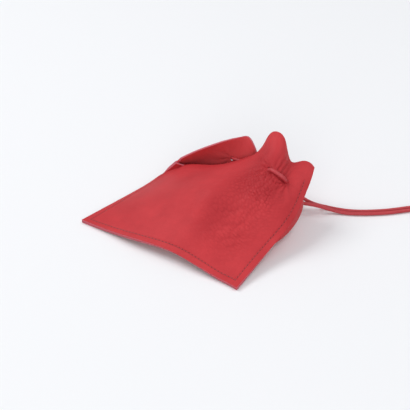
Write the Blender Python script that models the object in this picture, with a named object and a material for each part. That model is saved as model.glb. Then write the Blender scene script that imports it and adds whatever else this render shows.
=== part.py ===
"""Kinchaku: a small drawstring pouch of soft leather, lying on a table.

Two leather panels are sewn flat together down both sides and along the
bottom.  A thin round drawstring goes through two holes in the front panel and
two in the back panel.  Its ends leave behind the right side seam, run across
the table side by side and are tied together in one overhand knot.

Units are metres, +Z is up, and the origin is under the middle of the pouch.
The guide points below are in millimetres.
"""

import bmesh
import bpy
import numpy as np
from mathutils import Vector

MM = 0.001

# Driving dimensions
PANEL_WIDTH = 158.0 * MM
PANEL_HEIGHT = 127.0 * MM
LEATHER = 1.4 * MM
SEAM_GAP = 0.3 * MM
SEAM_STRIP = 5.0 * MM
SEAM_EASE = 12.0 * MM
LEFT_SEAM_SPREAD = 2.6
CORD_DIAMETER = 3.0 * MM
HOLE_CLEARANCE = 0.7 * MM
KNOT_RADIUS = 4.6 * MM
COLUMNS = 32
ROWS = 26
TO_MIDDLE = (-0.3, -0.35, 0.0)

# Guide points over the leather, row by row from the bottom seam to the mouth.
# Each row goes from the left seam to the right seam.
BOTTOM_SEAM = [
    (-95, 16, 1.6), (-73, 1, 3), (-53, -13, 6), (-35, -24, 8), (-17, -35, 8),
    (-5, -44, 6.5), (6, -52, 4.5), (17, -60, 2.5), (24, -65, 2), (31, -71, 1.6),
]
FRONT_ROWS = [
    [(-71, 39, 1.6), (-48, 22, 11), (-26, 7, 20), (-8, -7, 26.5), (6, -16, 29),
     (18, -20, 27), (29, -23, 23.5), (39, -26, 20), (49, -29, 17), (58, -35, 12)],
    [(-49, 60, 2), (-28, 38, 19), (-9, 20, 32), (8, 6, 40.5), (19, 1, 42),
     (31, -1, 40.5), (43, -4, 39.5), (55, -9, 37.5), (67, -12, 33), (78, -10, 26)],
    [(-34.5, 66.5, 9), (-16, 50, 24), (1, 37, 33.5), (14, 28, 39.5), (26.5, 24.5, 42.5),
     (38.5, 21.5, 46), (49.5, 19.5, 50), (58.5, 17.5, 53), (65, 11.5, 51), (71.5, 9, 45.5),
     (79.5, 7, 42.5), (87.5, 8.5, 37)],
    [(-26, 64, 20), (-10, 58.5, 26.5), (4.5, 49, 31), (19, 43, 36), (35, 41.5, 42),
     (48, 39.5, 49), (55.5, 35, 57), (63, 30.5, 62), (69, 27, 59), (74, 21.5, 49),
     (82.5, 19, 46.5), (92, 17.5, 42)],
    [(-17.5, 60, 31), (-11.5, 61, 28), (-2.5, 62.5, 25.5), (9.5, 60.5, 26), (23.5, 56, 30.2),
     (38, 52, 37.8), (45.5, 48.5, 43.2), (51.2, 46, 47.4), (55.8, 46, 55.2), (59.6, 47.5, 64),
     (64, 47, 69), (69, 44, 68.4), (71.5, 39, 63), (73.5, 33.5, 54.5), (76.5, 31, 49.5),
     (82.5, 32, 48.5), (88.5, 33, 49), (92.5, 31.5, 48), (95.5, 28, 46)],
]
BACK_ROWS = [
    [(-52, 31, 1.2), (-32, 20, 1.2), (-12, 7, 1.2), (7, -4, 1.2), (20, -12, 1.2),
     (31, -19, 1.5), (43, -26, 2.5), (52, -33, 6)],
    [(-33, 57, 1.2), (-14, 46, 1.2), (7, 35, 1.5), (26, 24, 2), (40, 14, 2),
     (53, 3, 2), (65, -6, 3), (75, -8, 12)],
    [(-22, 69, 8), (-4, 67, 10), (18, 59, 13), (39, 46, 16), (54, 37, 16),
     (69, 29, 14), (79.5, 22, 13), (85, 15, 19.5)],
    [(-15, 66, 23), (3, 70, 26.5), (30, 64, 32), (44, 54, 35), (56, 47, 34),
     (69, 41, 29.5), (78.5, 30, 28), (84.5, 20.5, 32)],
    [(-13.5, 61, 33), (-3.5, 64, 37), (11.5, 65.5, 43), (29, 64.5, 50.4), (37, 62.5, 54),
     (42, 60, 56), (44.5, 57, 54.7), (47, 53.5, 50.5), (49.5, 51.5, 45.5), (56.5, 48.5, 42),
     (66, 42, 41), (76.5, 35.5, 41.5), (86.5, 29.5, 43.5)],
]

# The drawstring, from its lower tail at the knot, along behind the pouch, in
# through the back panel, out and in through the front panel, and back again.
CORD_ROUTE = [
    (193.3, 33.6, 2.2), (187, 32.6, 1.8), (179, 31.5, 1.7), (165, 28.5, 1.7), (150, 26.6, 1.7),
    (136, 26.2, 1.7), (122, 27.6, 1.9), (108, 29.6, 4.8), (98, 28.8, 8.6),
    (88.5, 29.5, 10.2), (81, 33, 11), (74, 41.5, 15), (67, 50, 21.5), (54, 62, 26.5),
    (43, 69.5, 29.5), (34.5, 72, 31), (29.5, 69, 32), (29.8, 64, 32.5),
    (34, 59, 33.7), (40.5, 54, 34.6), (47, 45, 36.3), (52.5, 33, 40),
    (56, 22.5, 46.5), (58.2, 16.2, 52.8), (60.8, 12.1, 54.9), (65, 9.3, 53.7),
    (69.2, 7.6, 51), (71.8, 9.2, 46), (71, 17, 40.5), (66.5, 28, 36),
    (62, 39, 34), (61.5, 47.5, 33.5), (67, 51.5, 30),
    (75, 46, 23.5), (82.5, 39, 16), (89.5, 34.6, 11.2), (98, 34, 6.4),
    (108, 34.6, 2.8), (122, 31.2, 1.8), (136, 29.5, 1.7), (150, 29.9, 1.7),
    (165, 32, 1.7), (179, 35, 1.7), (187, 36.3, 1.8), (193.3, 37.2, 2.2),
]
CORD_POINTS = 80
HOLES = [(29.8, 63.5, 32.5), (58, 17, 52.5), (71.8, 9.2, 46), (61.5, 45, 33.5)]
KNOT_CENTRE = (199.5, 35.5, 4.7)
KNOT_END = 14.0


def clear_scene():
    """Remove every object, so the file always starts empty."""
    for old in list(bpy.data.objects):
        bpy.data.objects.remove(old, do_unlink=True)


def material(name, colour, roughness):
    """Return a plain Principled material."""
    finish = bpy.data.materials.new(name)
    finish.use_nodes = True
    shader = finish.node_tree.nodes["Principled BSDF"]
    shader.inputs["Base Color"].default_value = (*colour, 1.0)
    shader.inputs["Roughness"].default_value = roughness
    shader.inputs["Metallic"].default_value = 0.0
    return finish


def add_object(name, mesh, finish):
    """Put a mesh into the scene with one material."""
    piece = bpy.data.objects.new(name, mesh)
    bpy.context.scene.collection.objects.link(piece)
    piece.data.materials.append(finish)
    return piece


def place(points):
    """Turn guide points in millimetres into metres about the origin."""
    return (np.array(points, float) + np.array(TO_MIDDLE)) * MM


def spline(knots, values, at):
    """Natural cubic spline through values[i] at knots[i], read at `at`."""
    knots = np.asarray(knots, float)
    values = np.asarray(values, float)
    count = len(knots)
    step = np.diff(knots)
    system = np.eye(count)
    wanted = np.zeros_like(values)
    for i in range(1, count - 1):
        system[i, i - 1:i + 2] = step[i - 1], 2 * (step[i - 1] + step[i]), step[i]
        rise = (values[i + 1] - values[i]) / step[i] - (values[i] - values[i - 1]) / step[i - 1]
        wanted[i] = 6 * rise
    bend = np.linalg.solve(system, wanted.reshape(count, -1)).reshape(values.shape)
    left = np.clip(np.searchsorted(knots, at) - 1, 0, count - 2)
    shape = (-1,) + (1,) * (values.ndim - 1)
    width = step[left].reshape(shape)
    before = (np.asarray(at) - knots[left]).reshape(shape)
    after = (knots[left + 1] - np.asarray(at)).reshape(shape)
    return (bend[left] * after**3 / (6 * width) + bend[left + 1] * before**3 / (6 * width)
            + (values[left] / width - bend[left] * width / 6) * after
            + (values[left + 1] / width - bend[left + 1] * width / 6) * before)


def even_points(line, count):
    """Read `count` points at even distances along a dense line."""
    run = np.concatenate([[0.0], np.cumsum(np.linalg.norm(np.diff(line, axis=0), axis=1))])
    wanted = np.linspace(0.0, run[-1], count)
    return np.stack([np.interp(wanted, run, line[:, k]) for k in range(3)], axis=-1)


def chord_knots(points):
    """Knot positions from 0 to 1, spaced as the points are."""
    run = np.concatenate([[0.0], np.cumsum(np.linalg.norm(np.diff(points, axis=0), axis=1))])
    return run / run[-1]


def leather_face(rows):
    """Return a grid of points over one panel: columns, then rows from the bottom."""
    lines = [place(row) for row in rows]
    across = [spline(chord_knots(line), line, np.linspace(0, 1, COLUMNS + 1)) for line in lines]
    heights = np.mean([chord_knots(column) for column in np.stack(across, axis=1)], axis=0)
    dense = spline(heights, np.stack(across), np.linspace(0, 1, 8 * ROWS + 1))
    return np.stack([even_points(dense[:, i], ROWS + 1) for i in range(COLUMNS + 1)])


def face_normals(grid):
    """Return unit normals over a grid, on the side that faces up in front."""
    along = np.gradient(grid, axis=0)
    upward = np.gradient(grid, axis=1)
    normal = np.cross(along, upward)
    return normal / np.linalg.norm(normal, axis=2, keepdims=True)


def opening_share():
    """Return 0 in the sewn strip and 1 in the open middle, over the grid."""
    across = np.linspace(0, 1, COLUMNS + 1)[:, None] * PANEL_WIDTH
    height = np.linspace(0, 1, ROWS + 1)[None, :] * PANEL_HEIGHT
    inside = np.minimum(np.minimum(across * LEFT_SEAM_SPREAD, PANEL_WIDTH - across), height)
    share = np.clip((inside - SEAM_STRIP) / SEAM_EASE, 0, 1)
    return (share * share * (3 - 2 * share))[..., None]


def panel_faces():
    """Return the inner and outer faces of both panels as four grids."""
    back_rows = [[front[0], *back, front[-1]] for front, back in zip(FRONT_ROWS, BACK_ROWS)]
    front = leather_face([BOTTOM_SEAM, *FRONT_ROWS])
    back = front + (leather_face([BOTTOM_SEAM, *back_rows]) - front) * opening_share()
    faces = []
    for side, sheet in ((1, front), (-1, back)):
        normal = face_normals(sheet) * side
        inner = sheet + normal * SEAM_GAP / 2
        faces.append((inner, inner + normal * LEATHER))
    lay_on_table(*faces[1])
    return faces


def lay_on_table(inner, outer):
    """Flatten the underside of the back panel where it lies on the table."""
    inner[..., 2] = np.maximum(inner[..., 2], LEATHER)
    outer[..., 2] = np.maximum(outer[..., 2], 0.0)


def panel_mesh(name, inner, outer):
    """Close two grids into one solid sheet of leather."""
    build = bmesh.new()
    grids = [[[build.verts.new(point) for point in column] for column in grid] for grid in (inner, outer)]
    for grid, turn in ((grids[0], -1), (grids[1], 1)):
        for i in range(COLUMNS):
            for j in range(ROWS):
                corners = (grid[i][j], grid[i + 1][j], grid[i + 1][j + 1], grid[i][j + 1])
                build.faces.new(corners[::turn])
    rim = [(i, 0) for i in range(COLUMNS)] + [(COLUMNS, j) for j in range(ROWS)]
    rim += [(i, ROWS) for i in range(COLUMNS, 0, -1)] + [(0, j) for j in range(ROWS, 0, -1)]
    for here, there in zip(rim, rim[1:] + rim[:1]):
        low, high = (grids[0][here[0]][here[1]], grids[0][there[0]][there[1]]), \
            (grids[1][there[0]][there[1]], grids[1][here[0]][here[1]])
        build.faces.new((*low, *high))
    bmesh.ops.recalc_face_normals(build, faces=build.faces)
    bmesh.ops.triangulate(build, faces=build.faces)
    mesh = bpy.data.meshes.new(name)
    build.to_mesh(mesh)
    build.free()
    mesh.shade_smooth()
    return mesh


def cord_line():
    """Return the drawstring's points, at even distances from end to end."""
    guides = place(CORD_ROUTE)
    gaps = np.linalg.norm(np.diff(guides, axis=0), axis=1)
    knots = np.concatenate([[0.0], np.cumsum(gaps)])
    dense = spline(knots, guides, np.linspace(0, knots[-1], 20 * CORD_POINTS))
    return even_points(dense, CORD_POINTS)


def tube(name, line, diameter, finish):
    """Add a round tube with closed ends along a line of points."""
    curve = bpy.data.curves.new(name, "CURVE")
    curve.dimensions = "3D"
    curve.bevel_depth = diameter / 2
    curve.bevel_resolution = 2
    curve.use_fill_caps = True
    run = curve.splines.new("POLY")
    run.points.add(len(line) - 1)
    for point, place_at in zip(run.points, line):
        point.co = (*place_at, 1.0)
    piece = bpy.data.objects.new(name, curve)
    bpy.context.scene.collection.objects.link(piece)
    curve.materials.append(finish)
    return piece


def punch_holes(panel, line, holes, finish):
    """Cut a panel with a wider copy of the cord where it goes through."""
    for number, hole in enumerate(holes):
        nearest = int(np.argmin(np.linalg.norm(line - place(hole), axis=1)))
        stretch = line[nearest - 1:nearest + 2]
        guide = tube(f"{panel.name}_punch_{number}", stretch, CORD_DIAMETER + 2 * HOLE_CLEARANCE, finish)
        cutter = add_object(f"{guide.name}_solid", bpy.data.meshes.new_from_object(guide), finish)
        bpy.data.objects.remove(guide, do_unlink=True)
        cutter.hide_render = True
        cutter.display_type = "WIRE"
        cut = panel.modifiers.new(f"hole_{number}", "BOOLEAN")
        cut.operation = "DIFFERENCE"
        cut.object = cutter


def knot(finish):
    """Add the overhand knot as one rounded lump with two short ends."""
    build = bmesh.new()
    bmesh.ops.create_uvsphere(build, u_segments=16, v_segments=10, radius=KNOT_RADIUS)
    bmesh.ops.scale(build, vec=Vector((1.25, 1.0, 0.95)), verts=build.verts)
    mesh = bpy.data.meshes.new("drawstring_knot")
    build.to_mesh(mesh)
    build.free()
    mesh.shade_smooth()
    piece = add_object("drawstring_knot", mesh, finish)
    centre = np.array(KNOT_CENTRE)
    piece.location = Vector(place(KNOT_CENTRE))
    for side in (-1, 1):
        tip = centre + (KNOT_END, side * KNOT_END / 2, CORD_DIAMETER / MM / 2 + 0.2 - centre[2])
        guide = tube(f"knot_end_{side}", place([centre, (centre + tip) / 2, tip]), CORD_DIAMETER, finish)
        end = add_object(f"{guide.name}_solid", bpy.data.meshes.new_from_object(guide), finish)
        bpy.data.objects.remove(guide, do_unlink=True)
        end.hide_render = True
        end.display_type = "WIRE"
        join = piece.modifiers.new(end.name, "BOOLEAN")
        join.operation = "UNION"
        join.object = end
    return piece


def main():
    clear_scene()
    leather = material("red_leather", (0.55, 0.055, 0.065), 0.5)
    lining = material("red_leather_back", (0.42, 0.04, 0.05), 0.55)
    cord = material("red_cord", (0.38, 0.05, 0.06), 0.6)
    (front_in, front_out), (back_in, back_out) = panel_faces()
    front = add_object("front_panel", panel_mesh("front_panel", front_in, front_out), leather)
    back = add_object("back_panel", panel_mesh("back_panel", back_in, back_out), lining)
    line = cord_line()
    tube("drawstring", line, CORD_DIAMETER, cord)
    punch_holes(back, line, (HOLES[0], HOLES[3]), cord)
    punch_holes(front, line, HOLES[1:3], cord)
    knot(cord)


main()
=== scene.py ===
"""Kinchaku: a small drawstring pouch of soft red leather, lying on a table.

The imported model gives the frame.  This script adds the finished look around
it: two thin sewn leather panels with their gathers and grain, the stitched
seams, the punched holes, the drawstring with its knot, the table, the lights
and the camera.  All sizes are in metres unless a name says otherwise.
"""

import logging
import math
from dataclasses import dataclass, field
from enum import Enum
from typing import Optional, Sequence

import bmesh
import bpy
import numpy as np
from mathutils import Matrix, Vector


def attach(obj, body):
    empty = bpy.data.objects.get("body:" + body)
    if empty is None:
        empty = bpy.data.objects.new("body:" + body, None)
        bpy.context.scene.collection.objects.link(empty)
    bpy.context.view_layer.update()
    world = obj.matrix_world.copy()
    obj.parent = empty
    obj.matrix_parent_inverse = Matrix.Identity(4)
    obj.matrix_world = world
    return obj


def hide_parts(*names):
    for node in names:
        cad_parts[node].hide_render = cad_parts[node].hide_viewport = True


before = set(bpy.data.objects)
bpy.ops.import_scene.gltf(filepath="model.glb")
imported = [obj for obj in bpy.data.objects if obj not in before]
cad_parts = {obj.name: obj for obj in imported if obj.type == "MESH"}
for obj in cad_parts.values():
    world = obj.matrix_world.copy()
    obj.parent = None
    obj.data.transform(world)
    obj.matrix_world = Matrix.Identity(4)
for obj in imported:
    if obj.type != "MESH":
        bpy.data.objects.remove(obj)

LOG = logging.getLogger("kinchaku")
MM = 0.001

Point = tuple[float, float, float]
Colour = tuple[float, float, float]


# ---------------------------------------------------------------- guide points
# Millimetres about the point under the middle of the pouch, row by row from
# the bottom seam to the mouth, each row from the left seam to the right seam.
TO_MIDDLE = (-0.3, -0.35, 0.0)
BOTTOM_SEAM = [
    (-95, 16, 1.6), (-73, 1, 3), (-53, -13, 6), (-35, -24, 8), (-17, -35, 8),
    (-5, -44, 6.5), (6, -52, 4.5), (17, -60, 2.5), (24, -65, 2), (31, -71, 1.6),
]
FRONT_ROWS = [
    [(-71, 39, 1.6), (-48, 22, 11), (-26, 7, 20), (-8, -7, 26.5), (6, -16, 29),
     (18, -20, 27), (29, -23, 23.5), (39, -26, 20), (49, -29, 17), (58, -35, 12)],
    [(-49, 60, 2), (-28, 38, 19), (-9, 20, 32), (8, 6, 40.5), (19, 1, 42),
     (31, -1, 40.5), (43, -4, 39.5), (55, -9, 37.5), (67, -12, 33), (78, -10, 26)],
    [(-34.5, 66.5, 9), (-16, 50, 24), (1, 37, 33.5), (14, 28, 39.5), (26.5, 24.5, 42.5),
     (38.5, 21.5, 46), (49.5, 19.5, 50), (58.5, 17.5, 53), (65, 11.5, 51), (71.5, 9, 45.5),
     (79.5, 7, 42.5), (87.5, 8.5, 37)],
    [(-26, 64, 20), (-10, 58.5, 26.5), (4.5, 49, 31), (19, 43, 36), (35, 41.5, 42),
     (48, 39.5, 49), (55.5, 35, 57), (63, 30.5, 62), (69, 27, 59), (74, 21.5, 49),
     (82.5, 19, 46.5), (92, 17.5, 42)],
    [(-17.5, 60, 31), (-11.5, 61, 28), (-2.5, 62.5, 25.5), (9.5, 60.5, 26), (23.5, 56, 30.2),
     (38, 52, 37.8), (45.5, 48.5, 43.2), (51.2, 46, 47.4), (55.8, 46, 55.2), (59.6, 47.5, 64),
     (64, 47, 69), (69, 44, 68.4), (71.5, 39, 63), (73.5, 33.5, 54.5), (76.5, 31, 49.5),
     (82.5, 32, 48.5), (88.5, 33, 49), (92.5, 31.5, 48), (95.5, 28, 46)],
]
BACK_ROWS = [
    [(-52, 31, 1.2), (-32, 20, 1.2), (-12, 7, 1.2), (7, -4, 1.2), (20, -12, 1.2),
     (31, -19, 1.5), (43, -26, 2.5), (52, -33, 6)],
    [(-33, 57, 1.2), (-14, 46, 1.2), (7, 35, 1.5), (26, 24, 2), (40, 14, 2),
     (53, 3, 2), (65, -6, 3), (75, -8, 12)],
    [(-22, 69, 8), (-4, 67, 10), (18, 59, 13), (39, 46, 16), (54, 37, 16),
     (69, 29, 14), (79.5, 22, 13), (85, 15, 19.5)],
    [(-15, 66, 23), (3, 70, 26.5), (30, 64, 32), (44, 54, 35), (56, 47, 34),
     (69, 41, 29.5), (78.5, 30, 28), (84.5, 20.5, 32)],
    [(-13.5, 61, 33), (-3.5, 64, 37), (11.5, 65.5, 43), (29, 64.5, 50.4), (37, 62.5, 54),
     (42, 60, 56), (44.5, 57, 54.7), (47, 53.5, 50.5), (49.5, 51.5, 45.5), (56.5, 48.5, 42),
     (66, 42, 41), (76.5, 35.5, 41.5), (86.5, 29.5, 43.5)],
]
CORD_ROUTE = [
    (193.3, 33.6, 2.2), (187, 32.6, 1.8), (179, 31.5, 1.7), (165, 28.5, 1.7), (150, 26.6, 1.7),
    (136, 26.2, 1.7), (122, 27.6, 1.9), (108, 29.6, 4.8), (98, 28.8, 8.6),
    (88.5, 29.5, 10.2), (81, 33, 11), (74, 41.5, 15), (67, 50, 21.5), (54, 62, 26.5),
    (43, 69.5, 29.5), (34.5, 72, 31), (29.5, 69, 32), (29.8, 64, 32.5),
    (34, 59, 33.7), (40.5, 54, 34.6), (47, 45, 36.3), (52.5, 33, 40),
    (56, 22.5, 46.5), (58.2, 16.2, 52.8), (60.8, 12.1, 54.9), (65, 9.3, 53.7),
    (69.2, 7.6, 51), (71.8, 9.2, 46), (71, 17, 40.5), (66.5, 28, 36),
    (62, 39, 34), (61.5, 47.5, 33.5), (67, 51.5, 30),
    (75, 46, 23.5), (82.5, 39, 16), (89.5, 34.6, 11.2), (98, 34, 6.4),
    (108, 34.6, 2.8), (122, 31.2, 1.8), (136, 29.5, 1.7), (150, 29.9, 1.7),
    (165, 32, 1.7), (179, 35, 1.7), (187, 36.3, 1.8), (193.3, 37.2, 2.2),
]
BACK_LEFT_HOLE = (29.8, 64.0, 32.5)
FRONT_HOLES = [(58.0, 17.0, 52.5), (71.8, 9.2, 46.0)]
BACK_RIGHT_HOLE = (61.5, 45.0, 33.5)
KNOT_CENTRE = (199.5, 35.5, 4.7)


# ------------------------------------------------------------- shape arithmetic
def place(points: Sequence[Point]) -> np.ndarray:
    """Turn guide points in millimetres into metres.

    Args:
        points: Points about the middle of the pouch.

    Returns:
        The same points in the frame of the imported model.
    """
    return (np.array(points, float) + np.array(TO_MIDDLE)) * MM


def spline(knots: np.ndarray, values: np.ndarray, at: np.ndarray) -> np.ndarray:
    """Read a natural cubic spline.

    Args:
        knots: Rising positions of the known values.
        values: One value, point or row of points for each knot.
        at: Positions to read.

    Returns:
        One value for each position in ``at``.
    """
    knots = np.asarray(knots, float)
    values = np.asarray(values, float)
    count = len(knots)
    step = np.diff(knots)
    system = np.eye(count)
    wanted = np.zeros_like(values)
    for i in range(1, count - 1):
        system[i, i - 1:i + 2] = step[i - 1], 2 * (step[i - 1] + step[i]), step[i]
        rise = (values[i + 1] - values[i]) / step[i] - (values[i] - values[i - 1]) / step[i - 1]
        wanted[i] = 6 * rise
    bend = np.linalg.solve(system, wanted.reshape(count, -1)).reshape(values.shape)
    left = np.clip(np.searchsorted(knots, at) - 1, 0, count - 2)
    shape = (-1,) + (1,) * (values.ndim - 1)
    width = step[left].reshape(shape)
    before = (np.asarray(at) - knots[left]).reshape(shape)
    after = (knots[left + 1] - np.asarray(at)).reshape(shape)
    return (bend[left] * after**3 / (6 * width) + bend[left + 1] * before**3 / (6 * width)
            + (values[left] / width - bend[left] * width / 6) * after
            + (values[left + 1] / width - bend[left + 1] * width / 6) * before)


def even_points(line: np.ndarray, count: int) -> np.ndarray:
    """Read points at even distances along a dense line.

    Args:
        line: The dense line.
        count: How many points to read.

    Returns:
        The evenly spaced points.
    """
    run = np.concatenate([[0.0], np.cumsum(np.linalg.norm(np.diff(line, axis=0), axis=1))])
    wanted = np.linspace(0.0, run[-1], count)
    return np.stack([np.interp(wanted, run, line[:, k]) for k in range(3)], axis=-1)


def smooth_route(points: Sequence[Point], spacing: float) -> np.ndarray:
    """Draw one smooth line through guide points.

    Args:
        points: Guide points in millimetres.
        spacing: Distance between the points of the result.

    Returns:
        Evenly spaced points in metres.
    """
    guides = place(points)
    knots = np.concatenate([[0.0], np.cumsum(np.linalg.norm(np.diff(guides, axis=0), axis=1))])
    dense = spline(knots, guides, np.linspace(0, knots[-1], 60 * len(points)))
    return even_points(dense, max(2, round(knots[-1] / spacing)))


def smooth_step(value: np.ndarray) -> np.ndarray:
    """Ease a value from 0 to 1."""
    share = np.clip(value, 0.0, 1.0)
    return share * share * (3 - 2 * share)


def chord_knots(points: np.ndarray) -> np.ndarray:
    """Space knots from 0 to 1 as the points are spaced."""
    run = np.concatenate([[0.0], np.cumsum(np.linalg.norm(np.diff(points, axis=0), axis=1))])
    return run / run[-1]


def unit_normals(grid: np.ndarray) -> np.ndarray:
    """Return unit normals over a grid of points, up in front of the pouch."""
    normal = np.cross(np.gradient(grid, axis=0), np.gradient(grid, axis=1))
    return normal / np.maximum(np.linalg.norm(normal, axis=2, keepdims=True), 1e-12)


# -------------------------------------------------------------------- materials
class Maths:
    """A shader socket that takes part in Python arithmetic."""

    def __init__(self, tree: bpy.types.NodeTree, socket: object) -> None:
        """Wrap a socket or a plain number."""
        self.tree = tree
        self.socket = socket

    def _node(self, operation: str, first: object, second: object = 0.0) -> "Maths":
        """Add one Math node.

        Args:
            operation: The Math node's operation.
            first: A socket or number.
            second: A socket or number.

        Returns:
            The node's result.
        """
        node = self.tree.nodes.new("ShaderNodeMath")
        node.operation = operation
        for slot, value in zip(node.inputs, (first, second)):
            source = value.socket if isinstance(value, Maths) else value
            if isinstance(source, (int, float)):
                slot.default_value = source
            else:
                self.tree.links.new(source, slot)
        return Maths(self.tree, node.outputs[0])

    def __add__(self, other: object) -> "Maths":
        """Add."""
        return self._node("ADD", self, other)

    __radd__ = __add__

    def __sub__(self, other: object) -> "Maths":
        """Subtract."""
        return self._node("SUBTRACT", self, other)

    def __mul__(self, other: object) -> "Maths":
        """Multiply."""
        return self._node("MULTIPLY", self, other)

    __rmul__ = __mul__

    def __pow__(self, other: object) -> "Maths":
        """Raise to a power."""
        return self._node("POWER", self, other)

    def clamped(self) -> "Maths":
        """Keep the value between 0 and 1."""
        node = self._node("ADD", self, 0.0)
        node.socket.node.use_clamp = True
        return node


class Shader:
    """One material and its node tree."""

    def __init__(self, name: str) -> None:
        """Start a material that holds only its Principled shader and output."""
        self.material = bpy.data.materials.new(name)
        self.material.use_nodes = True
        self.tree = self.material.node_tree
        self.surface = self.tree.nodes["Principled BSDF"]

    def node(self, kind: str, settings: Optional[dict] = None, **sockets: object) -> bpy.types.Node:
        """Add a node of any kind.

        Args:
            kind: The node's type without its ``ShaderNode`` start.
            settings: Attributes to set first.
            **sockets: Values or links by socket name, with ``_`` for a space.

        Returns:
            The new node.
        """
        node = self.tree.nodes.new(f"ShaderNode{kind}")
        for name, value in (settings or {}).items():
            setattr(node, name, value)
        for name, value in sockets.items():
            self.feed(node, name.replace("_", " "), value)
        return node

    def feed(self, node: bpy.types.Node, name: str, value: object) -> None:
        """Set or link one enabled input socket of a node.

        Args:
            node: The node.
            name: The socket's name.
            value: A number, tuple, socket or wrapped socket.
        """
        slot = next(s for s in node.inputs if s.name == name and s.enabled)
        source = value.socket if isinstance(value, Maths) else value
        if isinstance(source, bpy.types.NodeSocket):
            self.tree.links.new(source, slot)
        else:
            slot.default_value = source

    def number(self, socket: bpy.types.NodeSocket) -> Maths:
        """Wrap a socket for arithmetic."""
        return Maths(self.tree, socket)

    def attribute(self, name: str) -> bpy.types.Node:
        """Read a mesh attribute."""
        return self.node("Attribute", {"attribute_name": name})

    def mix(self, factor: object, first: object, second: object) -> bpy.types.NodeSocket:
        """Mix two colours.

        Args:
            factor: A number or socket.
            first: The colour at 0.
            second: The colour at 1.

        Returns:
            The mixed colour.
        """
        node = self.node("Mix", {"data_type": "RGBA"})
        for slot_name, value in (("Factor", factor), ("A", first), ("B", second)):
            colour = (*value, 1.0) if isinstance(value, tuple) else value
            self.feed(node, slot_name, colour)
        return next(s for s in node.outputs if s.enabled)

    def bump(self, height: object, strength: float, distance: float,
             normal: Optional[bpy.types.NodeSocket] = None) -> bpy.types.NodeSocket:
        """Add one layer of bump.

        Args:
            height: The height, from 0 to 1.
            strength: The bump's strength.
            distance: The height's size in metres.
            normal: The normal of the layer below.

        Returns:
            The bumped normal.
        """
        node = self.node("Bump", Strength=strength, Distance=distance, Height=height)
        if normal is not None:
            self.feed(node, "Normal", normal)
        return node.outputs["Normal"]

    def noise(self, where: bpy.types.NodeSocket, scale: float, detail: float = 2.0,
              roughness: float = 0.5, distortion: float = 0.0) -> Maths:
        """Read a noise texture.

        Args:
            where: The place to read, in metres.
            scale: Features to the metre.
            detail: Layers of finer noise.
            roughness: How strong the finer layers are.
            distortion: How far the places are pushed about.

        Returns:
            The noise, from 0 to 1.
        """
        node = self.node("TexNoise", Vector=where, Scale=scale, Detail=detail,
                         Roughness=roughness, Distortion=distortion)
        return self.number(node.outputs["Fac"])

    def finish(self, **values: object) -> bpy.types.Material:
        """Set the shader's own sockets and return the material."""
        for name, value in values.items():
            self.feed(self.surface, name.replace("_", " "), value)
        return self.material


@dataclass(frozen=True)
class LeatherFinish:
    """Soft dyed leather with a fine pebble grain, with painted shade in its sunken folds and a painted
    highlight on its raised folds.
    """

    name: str
    base: Colour
    deep: Colour
    ridge_highlight: Colour
    roughness: float
    grain: float
    pebble_scale: float = 900.0

    def build(self) -> bpy.types.Material:
        """Build the material.

        Returns:
            The finished leather.
        """
        shader = Shader(self.name)
        flat = shader.attribute("flat").outputs["Vector"]
        fold = shader.number(shader.attribute("fold").outputs["Fac"])
        cloud = shader.noise(flat, 45.0, 3.0, 0.55)
        fleck = shader.noise(flat, 420.0, 3.0, 0.6)
        colour = shader.mix((cloud * 0.9 + fleck * 0.3 - 0.1).clamped(), self.deep, self.base)
        # Sunken folds, crease lines, gather dimples, the stitch dent and the valley and hollow darken the
        # colour towards deep: painted shade.
        colour = shader.mix((fold * 0.9).clamped(), colour, self.deep)
        # Raised folds are lightened towards the third colour: painted highlight.
        ridge = (fold * -0.6).clamped()
        colour = shader.mix(ridge, colour, self.ridge_highlight)
        cells = shader.node("TexVoronoi", {"feature": "DISTANCE_TO_EDGE"},
                            Vector=flat, Scale=self.pebble_scale, Randomness=1.0)
        pebble = (shader.number(cells.outputs["Distance"]) * 3.0).clamped() ** 0.5
        wrinkle = shader.noise(flat, 260.0, 4.0, 0.62, 0.6)
        fine = shader.noise(flat, 2600.0, 2.0, 0.5)
        normal = shader.bump(wrinkle, 0.30 * self.grain, 0.0007)
        normal = shader.bump(pebble * 0.8 + fine * 0.3, 0.5 * self.grain, 0.00018, normal)
        rough = cloud * 0.10 + fleck * 0.08 + (self.roughness - 0.09)
        return shader.finish(Base_Color=colour, Roughness=rough, Normal=normal,
                             Specular_IOR_Level=0.22)


@dataclass(frozen=True)
class CutEdgeFinish:
    """The cut edge of the leather, a little darker and rough."""

    name: str
    base: Colour
    deep: Colour

    def build(self) -> bpy.types.Material:
        """Build the material.

        Returns:
            The finished edge.
        """
        shader = Shader(self.name)
        flat = shader.attribute("flat").outputs["Vector"]
        fibre = shader.noise(flat, 900.0, 4.0, 0.6)
        colour = shader.mix(fibre, self.deep, self.base)
        normal = shader.bump(fibre, 0.4, 0.0002)
        return shader.finish(Base_Color=colour, Roughness=0.62, Normal=normal)


@dataclass(frozen=True)
class ThreadFinish:
    """A waxed sewing thread."""

    name: str
    base: Colour

    def build(self) -> bpy.types.Material:
        """Build the material.

        Returns:
            The finished thread.
        """
        shader = Shader(self.name)
        where = shader.node("TexCoord").outputs["Object"]
        twist = shader.noise(where, 3000.0, 2.0)
        colour = shader.mix(twist, tuple(0.7 * c for c in self.base), self.base)
        normal = shader.bump(twist, 0.3, 0.00008)
        return shader.finish(Base_Color=colour, Roughness=0.5, Normal=normal)


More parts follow.
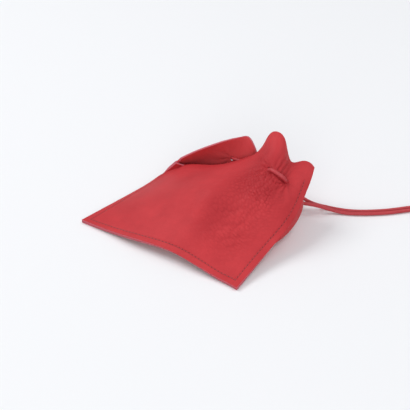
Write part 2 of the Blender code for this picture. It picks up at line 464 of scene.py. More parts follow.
@dataclass(frozen=True)
class CordFinish:
    """A round leather lace with fine grain along it."""

    name: str
    base: Colour
    deep: Colour

    def build(self) -> bpy.types.Material:
        """Build the material.

        Returns:
            The finished cord.
        """
        shader = Shader(self.name)
        where = shader.node("TexCoord").outputs["Object"]
        cloud = shader.noise(where, 160.0, 3.0, 0.6)
        grain = shader.noise(where, 1500.0, 3.0, 0.6)
        colour = shader.mix((cloud * 0.8 + grain * 0.3).clamped(), self.deep, self.base)
        normal = shader.bump(grain, 0.35, 0.0002)
        rough = cloud * 0.12 + 0.40
        return shader.finish(Base_Color=colour, Roughness=rough, Normal=normal, Specular_IOR_Level=0.45)


@dataclass(frozen=True)
class TableFinish:
    """A plain pale table top."""

    name: str = "pale_table"
    base: Colour = (0.88, 0.885, 0.90)

    def build(self) -> bpy.types.Material:
        """Build the material.

        Returns:
            The table's material.
        """
        shader = Shader(self.name)
        return shader.finish(Base_Color=(*self.base, 1.0), Roughness=0.85, Specular_IOR_Level=0.1)


class Finish(Enum):
    """The finishes of the pouch's pieces."""

    # The third colour of each leather lightens its raised folds: painted highlight.
    OUTSIDE = LeatherFinish("red_leather_outside", (0.640, 0.047, 0.055), (0.420, 0.021, 0.028),
                            (0.640, 0.070, 0.080), 0.55, 1.0)
    INSIDE = LeatherFinish("red_leather_inside", (0.720, 0.074, 0.082), (0.600, 0.054, 0.060),
                           (0.740, 0.100, 0.110), 0.62, 0.9)
    EDGE = CutEdgeFinish("red_leather_edge", (0.600, 0.120, 0.155), (0.440, 0.070, 0.100))
    THREAD = ThreadFinish("red_thread", (0.480, 0.036, 0.044))
    # A dark disc over each stitch hole: painted shade of the hole.
    PRICK_SHADE = ThreadFinish("stitch_hole_shade", (0.150, 0.010, 0.014))
    CORD = CordFinish("red_cord", (0.560, 0.050, 0.062), (0.380, 0.026, 0.034))
    TABLE = TableFinish()


class Palette:
    """Builds each finish once and hands it out."""

    def __init__(self) -> None:
        """Start with no finish built."""
        self.built: dict[Finish, bpy.types.Material] = {}

    def get(self, finish: Finish) -> bpy.types.Material:
        """Return the material of a finish."""
        if finish not in self.built:
            self.built[finish] = finish.value.build()
        return self.built[finish]


# ------------------------------------------------------------------ the leather
class Side(Enum):
    """Which panel of the pouch."""

    FRONT = 1
    BACK = -1


@dataclass(frozen=True)
class Crease:
    """One soft fold in a panel, in millimetres over the flat leather.

    ``depth`` is positive for a valley and negative for a ridge, ``width`` is
    half the fold's width and ``bow`` bends it sideways in the middle.
    """

    start: tuple[float, float]
    end: tuple[float, float]
    depth: float
    width: float
    bow: float = 0.0

    def height(self, across: np.ndarray, up: np.ndarray) -> np.ndarray:
        """Return how far the fold lifts each spot of the leather.

        Args:
            across: Places across the panel in millimetres.
            up: Places up the panel in millimetres.

        Returns:
            The lift in millimetres.
        """
        start = np.array(self.start)
        run = np.array(self.end) - start
        length = float(np.hypot(*run))
        along = ((across - start[0]) * run[0] + (up - start[1]) * run[1]) / length**2
        beside = ((across - start[0]) * -run[1] + (up - start[1]) * run[0]) / length
        inside = np.clip(along, 0.0, 1.0)
        beside = beside - self.bow * 4 * inside * (1 - inside)
        beyond = (along - inside) * length
        width = self.width * (0.6 + 0.9 * inside)
        reach = np.sqrt(beside**2 + beyond**2)
        fade = (1 - inside) ** 0.8 * 0.85 + 0.15 * (inside < 1)
        profile = np.exp(-np.sqrt((reach / width) ** 2 + 0.08))
        return -self.depth * profile * fade


@dataclass
class Gather:
    """How the leather is pulled together at the drawstring's holes."""

    dimple: float = 1.0
    dimple_width: float = 4.5
    pucker: float = 0.75
    pucker_reach: float = 15.0

    def lift(self, across: np.ndarray, up: np.ndarray, holes: Sequence[tuple[float, float]],
             axis: tuple[float, float]) -> np.ndarray:
        """Return the pulled-in leather's height round a pair of holes.

        Args:
            across: Places across the panel in millimetres.
            up: Places up the panel in millimetres.
            holes: Flat places of the holes, in millimetres.
            axis: The flat direction that the folds fan away along.

        Returns:
            The lift in millimetres.
        """
        lift = np.zeros_like(across)
        for number, hole in enumerate(holes):
            x, y = across - hole[0], up - hole[1]
            reach = np.hypot(x, y)
            angle = np.arctan2(y, x)
            lift -= self.dimple * np.exp(-(reach / self.dimple_width) ** 2)
            wander = 0.5 * np.sin(2.0 * angle + 0.35 * reach + 1.3 * number)
            wave = np.sin(13 * angle + 1.2 * wander + 0.9 * number + 0.05 * reach)
            ridge = 1.0 - 2.0 * np.abs(0.5 * (1 + wave)) ** 0.6
            facing = np.clip(0.35 + 0.65 * (x * axis[0] + y * axis[1]) / np.maximum(reach, 0.1), 0.0, 1.0)
            near = smooth_step((reach - 2.0) / 3.0)
            lift += self.pucker * ridge * facing * near * np.exp(-(reach / self.pucker_reach) ** 1.4)
        return lift


@dataclass(frozen=True)
class Patch:
    """A soft oval region of a panel, in millimetres over the flat leather."""

    centre: tuple[float, float]
    size: tuple[float, float]
    strength: float = 1.0

    def weight(self, across: np.ndarray, up: np.ndarray) -> np.ndarray:
        """Return the patch's strength in its middle, falling to 0 outside.

        Args:
            across: Places across the panel in millimetres.
            up: Places up the panel in millimetres.

        Returns:
            The strength at each place.
        """
        gap = np.hypot((across - self.centre[0]) / self.size[0], (up - self.centre[1]) / self.size[1])
        return smooth_step(1.35 - gap) * self.strength


# The front panel's wrinkles, hollow and valley, in millimetres over the flat leather.  The hollow round the
# gathers only darkens the colour, and the valley both sinks the leather and darkens it: both darkenings are
# painted shade.  The middle of the gathers is halfway along the lace outside.
GATHER_MIDDLE = (131.0, 103.0)
GATHER_AXIS = {Side.FRONT: (-0.55, -0.83), Side.BACK: (-0.8, -0.6)}
WRINKLE_PITCH = 2.7
WRINKLE_SPREAD = 26.0
WRINKLE_LEVEL = 0.6
WRINKLE_SEED = 5
NEAR_WRINKLES = Patch((119, 82), (23, 21), 1.15)
FAR_WRINKLES = Patch((119, 48), (28, 34), 0.62)
# The hollow makes no dip in the leather; it only darkens the colour: painted shade.
HOLLOW = Patch((120, 92), (26, 24))
HOLLOW_PAINTED_SHADE = 0.75
# The valley sinks the leather by VALLEY_DEPTH and darkens its colour: the darkening is painted shade.
VALLEY = Patch((105, 58), (13, 46))
VALLEY_PAINTED_SHADE = 0.65
VALLEY_DEPTH = 1.6

CREASES: dict[Side, list[Crease]] = {
    Side.FRONT: [
        Crease((124, 98), (112, 79), 1.5, 1.1, 1.0),
        Crease((127, 97), (119, 75), 1.9, 1.1, 0.8),
        Crease((129.5, 97), (126, 72), 1.7, 1.0, 0.5),
        Crease((132, 98), (131, 76), 1.6, 1.0, -0.3),
        Crease((134.5, 98), (136, 82), 1.2, 1.0, -0.5),
        Crease((119, 99), (102, 86), 1.2, 1.4, 1.2),
        Crease((124, 105), (121, 122), 1.2, 1.2, 0.4),
        Crease((127.5, 105), (126, 125), 1.7, 1.1, 0.2),
        Crease((131, 106), (131.5, 126), 1.8, 1.1, -0.2),
        Crease((134.5, 106), (137, 124), 1.5, 1.1, -0.4),
        Crease((137.5, 107), (141, 119), 1.0, 1.1, -0.4),
        Crease((120, 60), (100, 42), 0.7, 2.0, 2.5),
        Crease((128, 52), (104, 32), 0.7, 1.9, 3.0),
        Crease((134, 44), (110, 24), 0.6, 1.9, 3.0),
        Crease((136, 36), (115, 16), 0.5, 1.7, 2.5),
    ],
    Side.BACK: [
        Crease((66, 108), (44, 106), 0.7, 1.6, 1.5),
        Crease((66, 107), (48, 96), 0.6, 1.6, 1.0),
        Crease((70, 110), (88, 118), 0.6, 1.6, -1.0),
    ],
}


def crumple(out: np.ndarray, around: np.ndarray, seed: int) -> np.ndarray:
    """Return fine crumpled leather: soft cells with sharp valleys between them.

    Args:
        out: Distance out from the middle of the gathers, in millimetres.
        around: Distance round the middle of the gathers, in millimetres.
        seed: Start of the random spread of the cells.

    Returns:
        A height from 0 in the valleys to about 1 on the cells.
    """
    random = np.random.default_rng(seed)
    x = out / WRINKLE_PITCH
    y = around / WRINKLE_PITCH
    size = 64
    jitter = random.uniform(0.1, 0.9, (size, size, 2))
    first = np.full(out.shape, 9.0)
    second = np.full(out.shape, 9.0)
    for dx in (-1, 0, 1):
        for dy in (-1, 0, 1):
            i = np.floor(x).astype(int) + dx
            j = np.floor(y).astype(int) + dy
            spot = jitter[i % size, j % size]
            gap = np.hypot(i + spot[..., 0] - x, j + spot[..., 1] - y)
            second = np.minimum(second, np.maximum(first, gap))
            first = np.minimum(first, gap)
    return np.clip((second - first) * 1.6, 0, 1) ** 0.7


def front_wrinkles(across: np.ndarray, up: np.ndarray) -> np.ndarray:
    """Return the wrinkles that fan out from the gathers in the front panel.

    Args:
        across: Places across the panel in millimetres.
        up: Places up the panel in millimetres.

    Returns:
        The lift in millimetres.
    """
    x, y = across - GATHER_MIDDLE[0], up - GATHER_MIDDLE[1]
    cells = crumple(np.hypot(x, y), np.arctan2(y, x) * WRINKLE_SPREAD, WRINKLE_SEED)
    near = NEAR_WRINKLES.weight(across, up)
    return (cells - WRINKLE_LEVEL) * (near + FAR_WRINKLES.weight(across, up) * (1 - near))


@dataclass
class LeatherPanels:
    """The two leather panels, sewn together round three edges.

    ``rim_inside`` and ``rim_outside`` say, in cells of the grid, which points
    near a hole's edge are moved onto its circle.
    """

    width: float = 158.0 * MM
    height: float = 127.0 * MM
    leather: float = 1.4 * MM
    seam_gap: float = 0.30 * MM
    seam_strip: float = 5.0 * MM
    seam_ease: float = 12.0 * MM
    left_spread: float = 2.6
    hole_radius: float = 1.85 * MM
    hole_search: float = 7.0 * MM
    rim_inside: float = 0.35
    rim_outside: float = 0.75
    calm_strip: float = 3.0 * MM
    calm_ease: float = 7.0 * MM
    stitch_inset: float = 5.4 * MM
    stitch_stop: float = 18.0 * MM
    dent_depth: float = 0.30 * MM
    dent_width: float = 0.9 * MM
    edge_round: float = 0.32 * MM
    columns: int = 180
    rows: int = 146
    sheets: dict[Side, np.ndarray] = field(default_factory=dict)

    def flat_places(self) -> tuple[np.ndarray, np.ndarray]:
        """Return the grid's places across and up the flat leather."""
        across = np.linspace(0, self.width, self.columns + 1)[:, None]
        up = np.linspace(0, self.height, self.rows + 1)[None, :]
        return np.broadcast_arrays(across, up)

    def face(self, rows: Sequence[Sequence[Point]]) -> np.ndarray:
        """Draw a smooth sheet through rows of guide points.

        Args:
            rows: Guide rows from the bottom seam to the mouth.

        Returns:
            A grid of points: columns, then rows.
        """
        lines = [place(row) for row in rows]
        places = np.linspace(0, 1, self.columns + 1)
        across = [spline(chord_knots(line), line, places) for line in lines]
        heights = np.mean([chord_knots(column) for column in np.stack(across, axis=1)], axis=0)
        dense = spline(heights, np.stack(across), np.linspace(0, 1, 3 * self.rows + 1))
        return np.stack([even_points(dense[:, i], self.rows + 1) for i in range(self.columns + 1)])

    def seam_distance(self) -> np.ndarray:
        """Return each spot's distance from the sewn edges."""
        across, up = self.flat_places()
        return np.minimum(np.minimum(across, self.width - across), up)

    def shape(self) -> None:
        """Work out the middle sheets of both panels, without folds."""
        back_rows = [[front[0], *back, front[-1]] for front, back in zip(FRONT_ROWS, BACK_ROWS)]
        front = self.face([BOTTOM_SEAM, *FRONT_ROWS])
        across, up = self.flat_places()
        inside = np.minimum(np.minimum(across * self.left_spread, self.width - across), up)
        share = smooth_step((inside - self.seam_strip) / self.seam_ease)[..., None]
        back = front + (self.face([BOTTOM_SEAM, *back_rows]) - front) * share
        for side, sheet in ((Side.FRONT, front), (Side.BACK, back)):
            lift = (self.seam_gap + self.leather) / 2 * side.value
            self.sheets[side] = sheet + unit_normals(sheet) * lift
        self.lay_on_table()

    def read(self, side: Side, place_on: np.ndarray,
             heading: np.ndarray) -> tuple[np.ndarray, np.ndarray, np.ndarray]:
        """Read a panel at one flat place.

        Args:
            side: Which panel.
            place_on: The place across and up the flat leather, in metres.
            heading: A flat direction.

        Returns:
            The point in space, the outward normal and the heading in space.
        """
        sheet = self.sheets[side]
        x = min(max(place_on[0] / self.width * self.columns, 0.0), self.columns - 1.001)
        y = min(max(place_on[1] / self.height * self.rows, 0.0), self.rows - 1.001)
        i, j = int(x), int(y)
        a, b = x - i, y - j
        spot = (sheet[i, j] * (1 - a) * (1 - b) + sheet[i + 1, j] * a * (1 - b)
                + sheet[i, j + 1] * (1 - a) * b + sheet[i + 1, j + 1] * a * b)
        wide = sheet[i + 1, j] - sheet[i, j]
        tall = sheet[i, j + 1] - sheet[i, j]
        normal = np.cross(wide, tall)
        normal = normal / np.linalg.norm(normal) * side.value
        along = wide * heading[0] + tall * heading[1]
        along = along - normal * np.dot(along, normal)
        return spot, normal, along / np.linalg.norm(along)

    def nearest(self, side: Side, spot: Point) -> tuple[float, float]:
        """Return the flat place, in millimetres, nearest to a point in space."""
        return self._smallest(np.linalg.norm(self.sheets[side] - place([spot])[0], axis=2))

    def crossing(self, side: Side, line: np.ndarray, near: Point) -> tuple[float, float]:
        """Return the flat place, in millimetres, where a cord goes through a panel.

        Args:
            side: Which panel.
            line: Points along the cord.
            near: A point in millimetres close to the hole.

        Returns:
            The place across and up the flat leather.
        """
        close = line[np.linalg.norm(line - place([near])[0], axis=1) < self.hole_search]
        gaps = [np.linalg.norm(self.sheets[side] - point, axis=2) for point in close]
        return self._smallest(min(gaps, key=lambda gap: float(gap.min())))

    def _smallest(self, gap: np.ndarray) -> tuple[float, float]:
        """Return the flat place, in millimetres, where a grid of gaps is smallest."""
        i, j = np.unravel_index(int(np.argmin(gap)), gap.shape)
        return i * self.width / self.columns / MM, j * self.height / self.rows / MM

    def bend(self, side: Side, creases: Sequence[Crease],
             holes: Sequence[tuple[float, float]]) -> np.ndarray:
        """Press the gathers, folds and wrinkles into a panel.

        Args:
            side: Which panel.
            creases: The folds to add.
            holes: Flat places of the holes, in millimetres.

        Returns:
            The height of the folds over the grid, in millimetres, lowered further where shade is painted
            into the colour.
        """
        across, up = (grid / MM for grid in self.flat_places())
        lift = sum((crease.height(across, up) for crease in creases), np.zeros_like(across))
        lift = lift + Gather().lift(across, up, holes, GATHER_AXIS[side])
        valley = painted_shade = np.zeros_like(lift)
        if side is Side.FRONT:
            lift = lift + front_wrinkles(across, up)
            valley = VALLEY.weight(across, up)
            # Painted shade over the valley and the hollow, carried into the colour through the fold value.
            painted_shade = VALLEY_PAINTED_SHADE * valley + HOLLOW_PAINTED_SHADE * HOLLOW.weight(across, up)
        calm = smooth_step((self.seam_distance() - self.calm_strip) / self.calm_ease)
        lift = lift * calm - self.stitch_dent() / MM
        sheet = self.sheets[side]
        rise = (lift - VALLEY_DEPTH * valley * calm) * MM * side.value
        self.sheets[side] = sheet + unit_normals(sheet) * rise[..., None]
        if side is Side.BACK:
            self.lay_on_table()
        return lift - painted_shade

    def stitch_dent(self) -> np.ndarray:
        """Return how deep the row of stitches presses into the leather."""
        beside = np.abs(self.seam_distance() - self.stitch_inset)
        beyond = self.flat_places()[1] > self.height - self.stitch_stop
        depth = self.dent_depth * np.exp(-(beside / self.dent_width) ** 2)
        return np.where(beyond, 0.0, depth)

    def lay_on_table(self) -> None:
        """Flatten the underside of the back panel where it lies on the table."""
        back = self.sheets[Side.BACK]
        back[..., 2] = np.maximum(back[..., 2], self.leather / 2)

    def mesh(self, side: Side, holes: Sequence[tuple[float, float]], lift: np.ndarray,
             palette: Palette) -> bpy.types.Object:
        """Build one panel as a closed sheet of leather with rounded cut edges.

        Args:
            side: Which panel.
            holes: Flat places of the punched holes, in millimetres.
            lift: The height of the folds over the grid, in millimetres, lowered where shade is painted into
                the colour.
            palette: The finishes.

        Returns:
            The panel.
        """
        sheet = self.sheets[side]
        across, up = (grid / MM for grid in self.flat_places())
        radius = self.hole_radius / MM
        cell = self.width / MM / self.columns
        inside = np.zeros(across.shape, bool)
        moved = sheet.copy()
        for hole in holes:
            gap = np.hypot(across - hole[0], up - hole[1])
            punched = gap < radius - self.rim_inside * cell
            inside |= punched
            rim = ~punched & (gap < radius + self.rim_outside * cell)
            for i, j in zip(*np.nonzero(rim)):
                away = np.array((across[i, j] - hole[0], up[i, j] - hole[1]))
                spot = np.array(hole) + away * radius / np.linalg.norm(away)
                moved[i, j] = self.read(side, spot * MM, away)[0]
        build = bmesh.new()
        points = [[None if inside[i, j] else build.verts.new(moved[i, j])
                   for j in range(self.rows + 1)] for i in range(self.columns + 1)]
        for i in range(self.columns):
            for j in range(self.rows):
                corners = [points[i][j], points[i + 1][j], points[i + 1][j + 1], points[i][j + 1]]
                if None in corners:
                    continue
                build.faces.new(corners if side is Side.FRONT else corners[::-1])
        name = "front_leather" if side is Side.FRONT else "back_leather"
        mesh = bpy.data.meshes.new(name)
        build.verts.index_update()
        kept = [(i, j) for i in range(self.columns + 1) for j in range(self.rows + 1) if points[i][j]]
        build.to_mesh(mesh)
        build.free()
        self._note(mesh, kept, across, up, lift)
        panel = bpy.data.objects.new(name, mesh)
        bpy.context.scene.collection.objects.link(panel)
        for finish in (Finish.OUTSIDE, Finish.INSIDE, Finish.EDGE):
            mesh.materials.append(palette.get(finish))
        self._thicken(panel)
        return panel

    def _note(self, mesh: bpy.types.Mesh, kept: Sequence[tuple[int, int]],
              across: np.ndarray, up: np.ndarray, lift: np.ndarray) -> None:
        """Store each spot's flat place and fold height on the mesh; the fold value also carries the painted
        shade that darkens the colour.
        """
        spots = np.array(kept)
        flat = np.stack([across[spots[:, 0], spots[:, 1]] * MM, up[spots[:, 0], spots[:, 1]] * MM,
                         np.zeros(len(spots))], axis=-1)
        places = mesh.attributes.new("flat", "FLOAT_VECTOR", "POINT")
        places.data.foreach_set("vector", flat.ravel())
        # Where the fold value is positive it darkens the leather's colour: painted shade in sunken folds.
        folds = mesh.attributes.new("fold", "FLOAT", "POINT")
        folds.data.foreach_set("value", -lift[spots[:, 0], spots[:, 1]])

    def _thicken(self, panel: bpy.types.Object) -> None:
        """Give a panel its leather thickness and rounded cut edges."""
        solid = panel.modifiers.new("leather", "SOLIDIFY")
        solid.thickness = self.leather
        solid.offset = 0.0
        solid.use_rim = True
        solid.material_offset = 1
        solid.material_offset_rim = 2
        edge = panel.modifiers.new("edge", "BEVEL")
        edge.width = self.edge_round
        edge.segments = 2
        edge.limit_method = "ANGLE"
        edge.angle_limit = math.radians(50)
        edge.harden_normals = False
        settle(panel)
        panel.data.shade_smooth()


def settle(piece: bpy.types.Object) -> None:
    """Apply every modifier of a piece."""
    graph = bpy.context.evaluated_depsgraph_get()
    graph.update()
    mesh = bpy.data.meshes.new_from_object(piece.evaluated_get(graph))
    piece.modifiers.clear()
    old = piece.data
    piece.data = mesh
    bpy.data.meshes.remove(old)


def add_piece(name: str, mesh: bpy.types.Mesh, material: bpy.types.Material) -> bpy.types.Object:
    """Put a mesh into the scene with one material."""
    piece = bpy.data.objects.new(name, mesh)
    bpy.context.scene.collection.objects.link(piece)
    piece.data.materials.append(material)
    return piece


def sweep(name: str, line: np.ndarray, radii: np.ndarray, sides: int,
          material: bpy.types.Material) -> bpy.types.Object:
    """Sweep a round section along a line, with closed rounded ends.

    Args:
        name: The piece's name.
        line: Points along the middle.
        radii: The section's radius at each point.
        sides: Corners of the section.
        material: The piece's finish.

    Returns:
        The swept piece.
    """
    tangent = np.gradient(line, axis=0)
    tangent /= np.linalg.norm(tangent, axis=1, keepdims=True)
    side = np.cross(tangent[0], (0.0, 0.0, 1.0))
    if np.linalg.norm(side) < 0.1:
        side = np.cross(tangent[0], (0.0, 1.0, 0.0))
    build = bmesh.new()
    rings = []
    for point, along, radius in zip(line, tangent, radii):
        side = side - along * np.dot(side, along)
        side /= np.linalg.norm(side)
        over = np.cross(along, side)
        ring = []
        for k in range(sides):
            angle = 2 * math.pi * k / sides
            ring.append(build.verts.new(point + (side * math.cos(angle) + over * math.sin(angle)) * radius))
        rings.append(ring)
    for low, high in zip(rings, rings[1:]):
        for k in range(sides):
            build.faces.new((low[k], low[(k + 1) % sides], high[(k + 1) % sides], high[k]))
    build.faces.new(rings[0][::-1])
    build.faces.new(rings[-1])
    bmesh.ops.recalc_face_normals(build, faces=build.faces)
    mesh = bpy.data.meshes.new(name)
    build.to_mesh(mesh)
    build.free()
    mesh.shade_smooth()
    return add_piece(name, mesh, material)


@dataclass
class Stitching:
    """The row of stitches round the two sides and the bottom."""

    pitch: float = 3.3 * MM
    thread: float = 0.75 * MM
    # prick is the radius of the dark disc of painted hole shade, prick_lift its height over the leather.
    prick_shade: float = 0.55 * MM
    prick_lift: float = 0.08 * MM
    gap_share: float = 0.08
    rise: float = 0.62
    sink: float = 0.55
    sections: int = 7
    corners: int = 6
    prick_corners: int = 8

    def path(self, panels: LeatherPanels) -> np.ndarray:
        """Return the stitch holes' flat places, from mouth to mouth.

        Args:
            panels: The leather that is sewn.

        Returns:
            Places across and up the flat leather, in metres.
        """
        near = panels.stitch_inset
        far = panels.width - near
        top = panels.height - panels.stitch_stop
        sides = [np.array(spot) for spot in ((near, top), (near, near), (far, near), (far, top))]
        places = []
        for start, end in zip(sides, sides[1:]):
            count = round(float(np.linalg.norm(end - start)) / self.pitch)
            places += [start + (end - start) * k / count for k in range(count)]
        return np.array(places + [sides[-1]])

    def build(self, panels: LeatherPanels, palette: Palette) -> None:
        """Sew the stitches onto both panels.

        Args:
            panels: The leather that is sewn.
            palette: The finishes.
        """
        holes = self.path(panels)
        for side in Side:
            build = bmesh.new()
            for start, end in zip(holes, holes[1:]):
                self.stitch(build, panels, side, start, end)
            name = f"{side.name.lower()}_seam_stitches"
            mesh = bpy.data.meshes.new(name)
            build.to_mesh(mesh)
            build.free()
            mesh.shade_smooth()
            row = add_piece(name, mesh, palette.get(Finish.THREAD))
            mesh.materials.append(palette.get(Finish.PRICK_SHADE))
            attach(row, "root")
            LOG.info("%s: %d stitches", name, len(holes) - 1)

    def stitch(self, build: bmesh.types.BMesh, panels: LeatherPanels, side: Side,
               start: np.ndarray, end: np.ndarray) -> None:
        """Add one stitch: a short arched thread that dips into its two holes, and a dark disc over its
        first hole, painted shade of the hole.

        Args:
            build: The mesh to add to.
            panels: The leather that is sewn.
            side: Which panel the stitch lies on.
            start: The flat place of the first hole.
            end: The flat place of the second hole.
        """
        rings = []
        for k in range(self.sections):
            share = k / (self.sections - 1)
            reach = self.gap_share + (1 - 2 * self.gap_share) * share
            spot, normal, along = panels.read(side, start + (end - start) * reach, end - start)
            arch = math.sin(math.pi * share) ** 0.5 * self.rise - self.sink
            centre = spot + normal * (panels.leather / 2 + arch * self.thread)
            rings.append(self.ring(build, centre, np.cross(along, normal), normal,
                                   self.thread / 2, self.corners))
        for low, high in zip(rings, rings[1:]):
            for k in range(self.corners):
                turn = (k + 1) % self.corners
                build.faces.new((low[k], low[turn], high[turn], high[k]))
        build.faces.new(rings[0][::-1])
        build.faces.new(rings[-1])
        # A flat dark disc just above the leather at the first hole: painted shade of the hole.
        spot, normal, along = panels.read(side, start, end - start)
        centre = spot + normal * (panels.leather / 2 + self.prick_lift)
        hole = build.faces.new(self.ring(build, centre, np.cross(along, normal), -along,
                                         self.prick_shade, self.prick_corners))
        hole.material_index = 1

    @staticmethod
    def ring(build: bmesh.types.BMesh, centre: np.ndarray, first: np.ndarray, second: np.ndarray,
             radius: float, corners: int) -> list[bmesh.types.BMVert]:
        """Add a ring of points, turning from the first direction to the second."""
        return [build.verts.new(centre + (first * math.cos(a) + second * math.sin(a)) * radius)
                for a in np.linspace(0, 2 * math.pi, corners, endpoint=False)]


@dataclass
class Drawstring:
    """The round lace, its two tails and their knot."""

    diameter: float = 3.0 * MM
    spacing: float = 0.9 * MM
    sides: int = 20

    def parts(self) -> tuple[np.ndarray, np.ndarray, np.ndarray]:
        """Split the route at the two holes in the back panel.

        Returns:
            The first tail, the threaded middle and the second tail, each from
            the pouch outwards or from hole to hole.
        """
        line = smooth_route(CORD_ROUTE, self.spacing)
        first, second = (int(np.argmin(np.linalg.norm(line - place([hole])[0], axis=1)))
                         for hole in (BACK_LEFT_HOLE, BACK_RIGHT_HOLE))
        return line[:first + 1][::-1], line[first:second + 1], line[second:]

    def build(self, palette: Palette) -> None:
        """Build the lace, its two tails and the knot.

        Args:
            palette: The finishes.
        """
        cord = palette.get(Finish.CORD)
        lower, middle, upper = self.parts()
        threaded = sweep("threaded_cord", middle, np.full(len(middle), self.diameter / 2), self.sides, cord)
        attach(threaded, "root")
        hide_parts("drawstring")
        knot = Knot().build(cord)
        for name, line, pieces in (("lower_tail", lower, [*knot, threaded]), ("upper_tail", upper, [])):
            tail = sweep(name, line, np.full(len(line), self.diameter / 2), self.sides, cord)
            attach(tail, "root")
            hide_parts("drawstring")
            [tuple(p) for p in line[::4]] + [tuple(line[-1])]


@dataclass
class Knot:
    """The overhand knot that ties the two ends together."""

    strand: float = 3.0 * MM
    loop: float = 4.0 * MM
    end_reach: float = 14.0

    def build(self, cord: bpy.types.Material) -> list[bpy.types.Object]:
        """Build the knot.

        Args:
            cord: The cord's finish.

        Returns:
            The knot and the cord's two short ends.
        """
        turn = np.linspace(0, 1, 160)
        angle = 2 * math.pi * turn
        x = self.loop * (np.sin(angle) + 2 * np.sin(2 * angle)) * 0.46
        y = self.loop * (np.cos(angle) - 2 * np.cos(2 * angle)) * 0.40
        z = -self.loop * np.sin(3 * angle) * 0.62
        line = np.stack([x, y, z], axis=-1) + place([KNOT_CENTRE])[0] + (0, 0, 0.3 * MM)
        knot = sweep("cord_knot", line[:-1], np.full(len(line) - 1, self.strand * 0.46), 16, cord)
        pieces = [knot, *(part(side, cord) for side in (-1, 1) for part in (self.neck, self.end))]
        for piece in pieces:
            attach(piece, "root")
            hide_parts("drawstring_knot")
        return pieces

    def neck(self, side: int, cord: bpy.types.Material) -> bpy.types.Object:
        """Build the stretch of cord that leads from one tail into the knot.

        Args:
            side: -1 for the near tail and 1 for the far tail.
            cord: The cord's finish.

        Returns:
            The neck.
        """
        tail = CORD_ROUTE[0] if side < 0 else CORD_ROUTE[-1]
        inward = CORD_ROUTE[1] if side < 0 else CORD_ROUTE[-2]
        start = tuple(0.75 * a + 0.25 * b for a, b in zip(tail, inward))
        x, y, z = KNOT_CENTRE
        points = [start, tail, (x - 3.5, y + 0.9 * side, z - 1.0), (x, y, z)]
        line = smooth_route(points, 0.8 * MM)
        return sweep(f"cord_neck_{'near' if side < 0 else 'far'}", line,
                     np.full(len(line), self.strand / 2), 16, cord)

    def end(self, side: int, cord: bpy.types.Material) -> bpy.types.Object:
        """Build one short cut end of the cord beyond the knot.

        Args:
            side: -1 for the near end and 1 for the far end.
            cord: The cord's finish.

        Returns:
            The end.
        """
        x, y, z = KNOT_CENTRE
        rest = self.strand / 2 / MM + 0.2
        points = [(x + 1, y + 0.5 * side, z), (x + 7, y + 3.0 * side, (z + rest) / 2),
                  (x + self.end_reach, y + self.end_reach / 2 * side, rest)]
        line = smooth_route(points, 0.8 * MM)
        return sweep(f"cord_end_{'near' if side < 0 else 'far'}", line,
                     np.full(len(line), self.strand / 2), 16, cord)


@dataclass
class Pouch:
    """The whole pouch."""

    panels: LeatherPanels = field(default_factory=LeatherPanels)

    def build(self, palette: Palette) -> None:
        """Build the panels and their stitches.

        Args:
            palette: The finishes.
        """
        self.panels.shape()
        route = smooth_route(CORD_ROUTE, 0.3 * MM)
        holes = {Side.FRONT: FRONT_HOLES, Side.BACK: [BACK_LEFT_HOLE, BACK_RIGHT_HOLE]}
        nodes = {Side.FRONT: "front_panel", Side.BACK: "back_panel"}
        for side in Side:
            flat_holes = [self.panels.nearest(side, hole) for hole in holes[side]]
            LOG.info("%s holes at %s", side.name.lower(), flat_holes)
            lift = self.panels.bend(side, CREASES[side], flat_holes)
            flat_holes = [self.panels.crossing(side, route, hole) for hole in holes[side]]
            panel = self.panels.mesh(side, flat_holes, lift, palette)
            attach(panel, "root")
            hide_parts(nodes[side])
            LOG.info("%s: %d faces", panel.name, len(panel.data.polygons))
        Stitching().build(self.panels, palette)


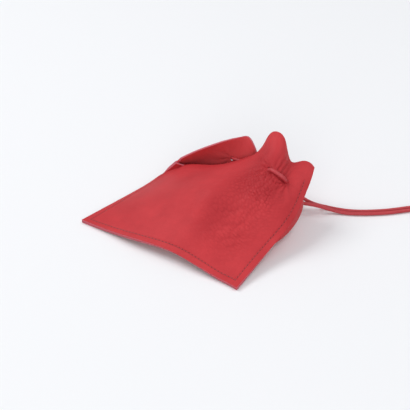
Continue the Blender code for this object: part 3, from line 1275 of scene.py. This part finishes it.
@dataclass
class Studio:
    """The table, the soft lights and the camera.

    ``corner`` is the pouch's front corner, and ``corner_right`` and
    ``corner_below`` say how far it lies from the middle of the view.
    """

    elevation: float = math.radians(36.0)
    distance: float = 0.900
    focal_share: float = 1170.0 / 410.0
    corner: Point = (31.0, -69.0, 0.0)
    corner_right: float = 24.23 * MM
    corner_below: float = 64.62 * MM
    table_reach: float = 6.0
    room_light: float = 0.45

    def build(self, palette: Palette) -> None:
        """Set up the table, the lights and the camera.

        Args:
            palette: The finishes.
        """
        self.table(palette)
        self.camera()
        self.lights()

    def table(self, palette: Palette) -> None:
        """Lay the table top."""
        mesh = bpy.data.meshes.new("table_top")
        reach = self.table_reach
        corners = [(-reach, -reach, 0), (reach, -reach, 0), (reach, reach, 0), (-reach, reach, 0)]
        mesh.from_pydata(corners, [], [(0, 1, 2, 3)])
        table = add_piece("table_top", mesh, palette.get(Finish.TABLE))

    def camera(self) -> None:
        """Place the camera in front of the pouch and above it."""
        right = np.array((1.0, 0.0, 0.0))
        ahead = np.array((0.0, math.cos(self.elevation), -math.sin(self.elevation)))
        over = np.cross(right, ahead)
        corner = place([self.corner])[0]
        spot = corner - right * self.corner_right + over * self.corner_below - ahead * self.distance
        lens = bpy.data.cameras.new("camera")
        lens.sensor_width = 36.0
        lens.lens = 36.0 * self.focal_share
        lens.clip_start = 0.01
        camera = bpy.data.objects.new("camera", lens)
        bpy.context.scene.collection.objects.link(camera)
        camera.location = Vector(spot)
        camera.rotation_euler = (math.pi / 2 - self.elevation, 0.0, 0.0)
        bpy.context.scene.camera = camera

    def lights(self) -> None:
        """Hang the soft boxes and set the room's own light."""
        world = bpy.data.worlds.new("studio")
        world.use_nodes = True
        background = world.node_tree.nodes["Background"]
        background.inputs["Color"].default_value = (0.95, 0.97, 1.0, 1.0)
        background.inputs["Strength"].default_value = self.room_light
        bpy.context.scene.world = world
        self.soft_box("key", (-1.2, 0.5, 1.8), 1.2, 22.0)
        self.soft_box("fill", (1.2, 0.1, 2.0), 1.2, 13.0)
        self.soft_box("front", (-0.2, -2.0, 0.9), 1.2, 14.0)
        bpy.context.scene.view_settings.view_transform = "Standard"

    def soft_box(self, name: str, spot: Point, size: float, power: float) -> None:
        """Hang one soft box aimed at the pouch.

        Args:
            name: The light's name.
            spot: Where it hangs.
            size: The side of its square face.
            power: Its power in watts.
        """
        lamp = bpy.data.lights.new(name, "AREA")
        lamp.size = size
        lamp.energy = power
        light = bpy.data.objects.new(name, lamp)
        bpy.context.scene.collection.objects.link(light)
        light.location = spot
        aim = Vector((0.0, 0.0, 0.03)) - Vector(spot)
        light.rotation_euler = aim.to_track_quat("-Z", "Y").to_euler()


def main() -> None:
    """Build the pouch, the drawstring and the studio."""
    logging.basicConfig(level=logging.INFO, format="%(name)s: %(message)s")
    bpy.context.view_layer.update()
    palette = Palette()
    Pouch().build(palette)
    Drawstring().build(palette)
    Studio().build(palette)


if __name__ == "__main__":
    main()
